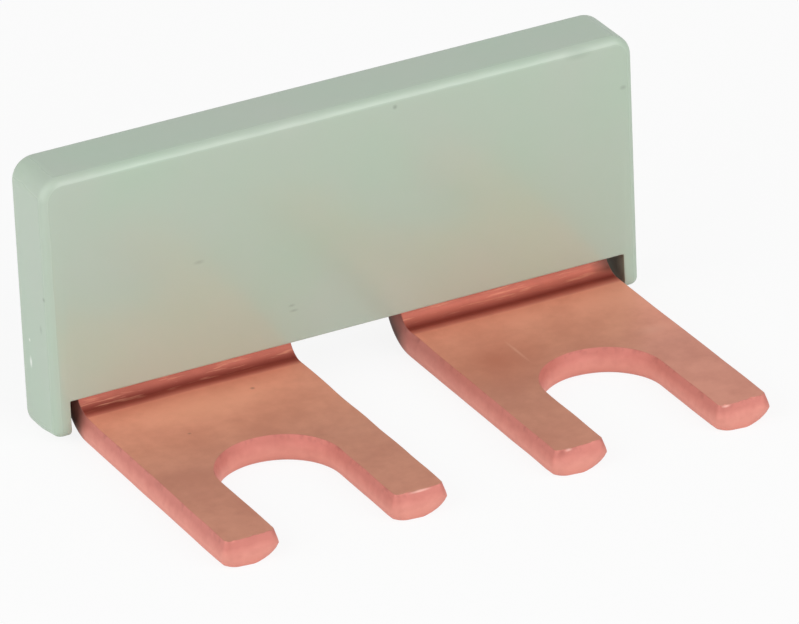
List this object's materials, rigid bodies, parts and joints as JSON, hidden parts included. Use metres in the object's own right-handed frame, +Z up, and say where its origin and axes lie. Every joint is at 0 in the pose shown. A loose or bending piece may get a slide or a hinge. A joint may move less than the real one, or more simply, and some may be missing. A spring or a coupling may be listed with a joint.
{
  "type": "earthing busbar",
  "caption": "Short earthing busbar: a folded copper comb with slotted screw forks, its upright web covered by a rounded pale green insulating cap.",
  "frame": {"origin": "middle of the length and of the depth, on the plane of the fork undersides", "axes": "+X along the bar, -Y the way the forks point, +Z up from the forks to the top of the cap"},
  "size_m": [0.0326, 0.0196, 0.0143],
  "materials": {
    "copper": "satin rolled copper with brighter sheared edges",
    "cap_plastic": "satin, pale grey-green, slightly translucent"
  },
  "bodies": {
    "root": {"comb": "copper", "cap": "cap_plastic"}
  },
  "joints": []
}
